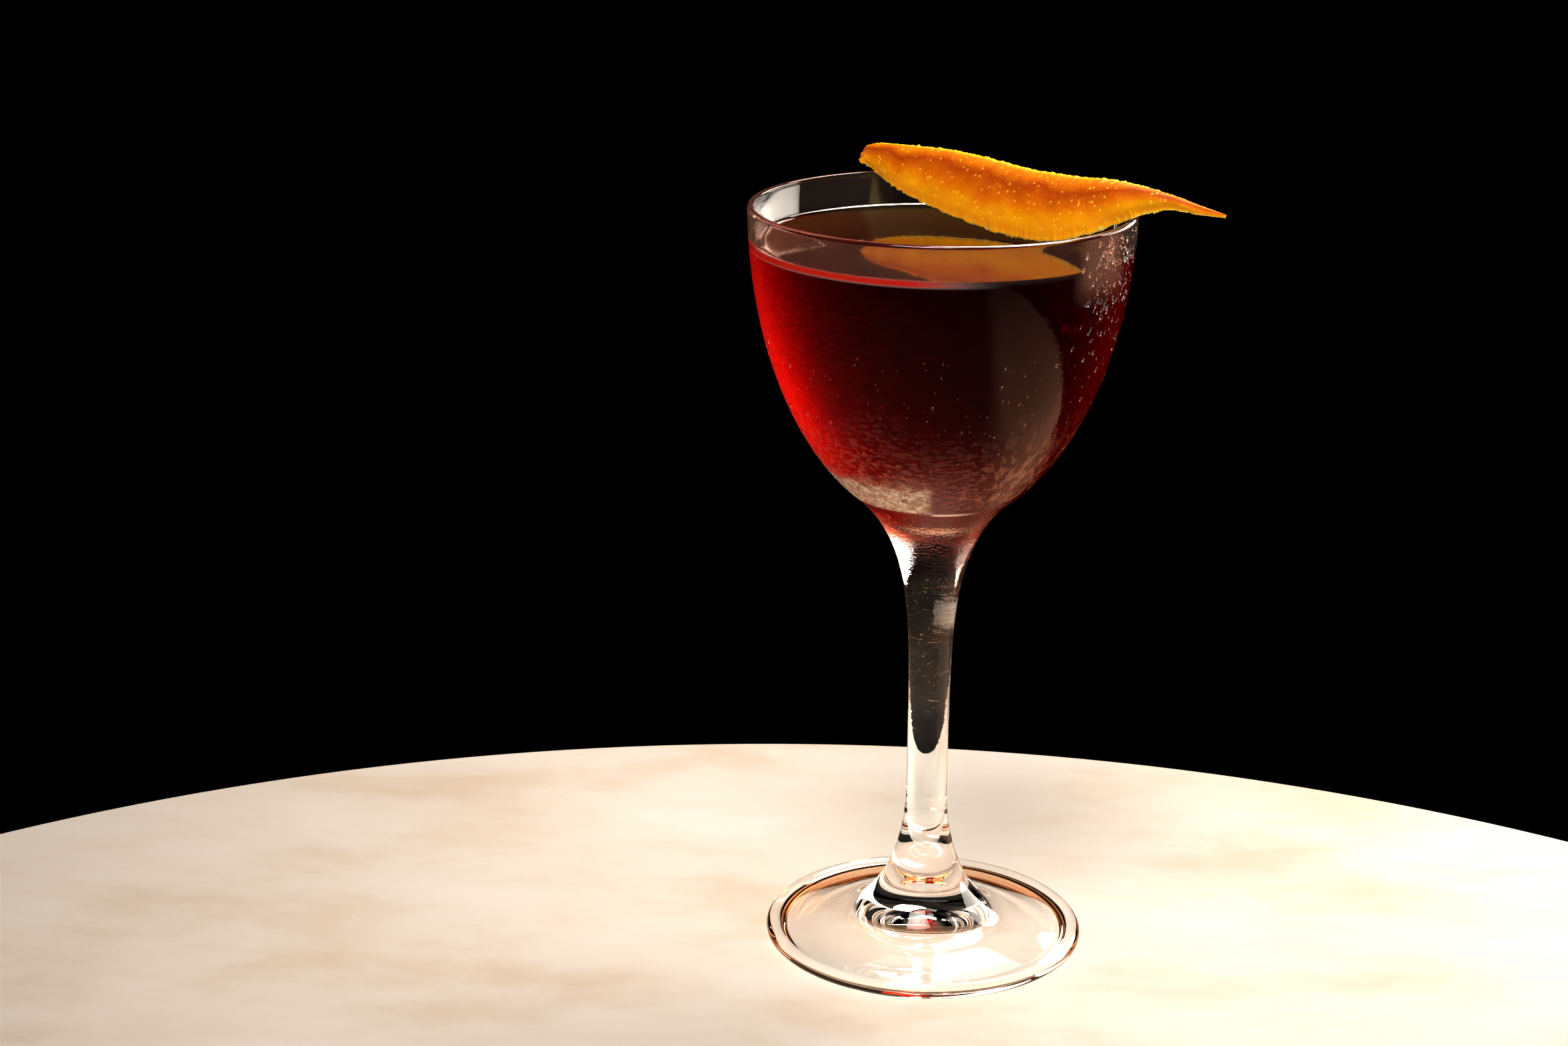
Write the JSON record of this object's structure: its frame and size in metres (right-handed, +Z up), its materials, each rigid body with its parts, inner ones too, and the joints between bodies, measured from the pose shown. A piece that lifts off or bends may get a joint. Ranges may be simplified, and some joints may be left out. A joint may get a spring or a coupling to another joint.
{
  "type": "stemmed cocktail glass",
  "caption": "Small stemmed cocktail glass with a rounded bowl, filled with a dark red drink, a twist of orange peel resting across its mouth.",
  "frame": {"origin": "centre of the plane the foot stands on", "axes": "+Z up along the glass's axis; -Y towards the side the glass is seen from; +X to the right, where the tip of the peel hangs over the lip"},
  "size_m": [0.081, 0.0685, 0.1439],
  "materials": {
    "bowl_glass": "clear, polished",
    "stem_glass": "clear, polished",
    "foot_glass": "clear, polished",
    "drink_red": "clear dark red liquid",
    "zest_orange": "waxy, pored citrus skin",
    "pith_cream": "matt, spongy white layer"
  },
  "bodies": {
    "glass": {"bowl": "bowl_glass", "stem": "stem_glass", "foot": "foot_glass", "drink": "drink_red"},
    "garnish": {"peel_zest": "zest_orange", "peel_pith": "pith_cream"}
  },
  "joints": [
    {"name": "peel_lift", "type": "slide", "parent": "glass", "child": "garnish", "axis": [0, 0, 1], "range_m": [0, 0.08]}
  ]
}
